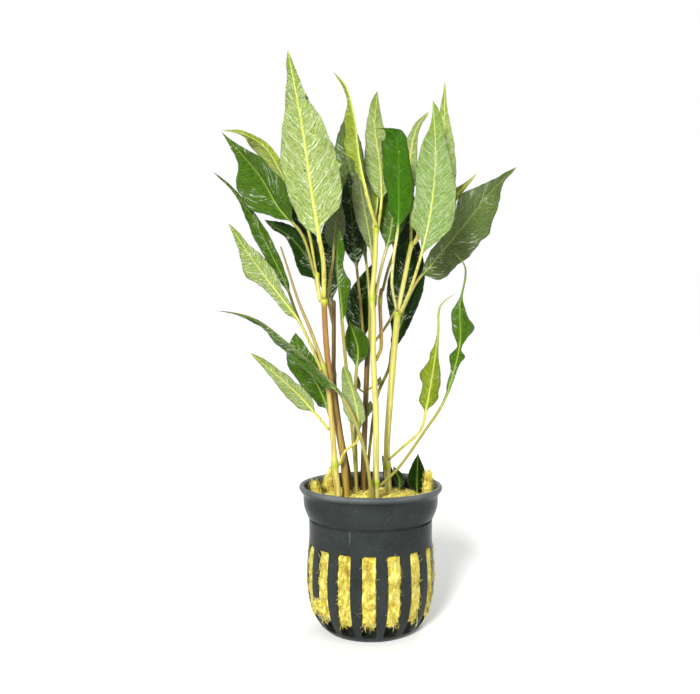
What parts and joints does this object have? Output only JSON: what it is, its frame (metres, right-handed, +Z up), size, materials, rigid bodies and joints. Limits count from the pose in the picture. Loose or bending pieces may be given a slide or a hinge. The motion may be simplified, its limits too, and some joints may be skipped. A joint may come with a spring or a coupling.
{
  "type": "potted hygrophila",
  "caption": "Upright aquarium plant with lance-shaped, side-veined leaves on jointed stems, rooted in rock wool inside a slotted round net pot that stands on its flat base.",
  "frame": {"origin": "centre of the flat underside of the net pot", "axes": "+Z up along the pot's axis; the plant's front, as pictured, faces -Y; +X to the viewer's right"},
  "size_m": [0.1245, 0.078, 0.21],
  "materials": {
    "pot": "satin",
    "wool": "matte",
    "stem_yellow": "satin",
    "stem_tan": "satin",
    "stem_brown": "satin",
    "leaf_pale": "satin",
    "leaf_young": "satin",
    "leaf_green": "gloss",
    "leaf_bright": "gloss",
    "leaf_dark": "gloss",
    "leaf_olive": "satin"
  },
  "bodies": {
    "root": {"leaf_arched_centre": "leaf_young", "leaf_behind_bright": "leaf_green", "leaf_behind_left": "leaf_dark", "leaf_behind_tall": "leaf_dark", "leaf_bright": "leaf_bright", "leaf_broad_right": "leaf_olive", "leaf_centre_dark": "leaf_dark", "leaf_centre_low": "leaf_green", "leaf_centre_rear": "leaf_dark", "leaf_dark_right": "leaf_dark", "leaf_grey_centre": "leaf_olive", "leaf_hanging_right": "leaf_green", "leaf_in_pot_back": "leaf_dark", "leaf_in_pot_centre": "leaf_dark", "leaf_in_pot_right": "leaf_dark", "leaf_left_high": "leaf_green", "leaf_left_pale": "leaf_pale", "leaf_long_left": "leaf_green", "leaf_low_front": "leaf_pale", "leaf_low_left": "leaf_pale", "leaf_mid_left": "leaf_dark", "leaf_olive_back": "leaf_olive", "leaf_pale_centre": "leaf_pale", "leaf_pale_right": "leaf_pale", "leaf_pale_right_back": "leaf_pale", "leaf_rear_right": "leaf_dark", "leaf_reddish": "leaf_olive", "leaf_round_left": "leaf_dark", "leaf_slender_stem": "leaf_dark", "leaf_small_right": "leaf_pale", "leaf_tall_centre": "leaf_young", "leaf_tall_front": "leaf_pale", "leaf_thin_centre": "leaf_green", "leaf_twisted_right": "leaf_green", "leaf_upper_left": "leaf_dark", "leaf_upper_left_back": "leaf_young", "leaf_young_right": "leaf_young", "leaflet_left": "leaf_olive", "leaflet_low": "leaf_olive", "leaflet_right": "leaf_olive", "net_pot": "pot", "rock_wool": "wool", "side_shoot_left": "stem_yellow", "stem_brown": "stem_brown", "stem_left": "stem_yellow", "stem_left_front": "stem_tan", "stem_main": "stem_yellow", "stem_olive": "stem_brown", "stem_right": "stem_yellow", "stem_right_top": "stem_yellow", "stem_slender": "stem_tan"}
  },
  "joints": []
}
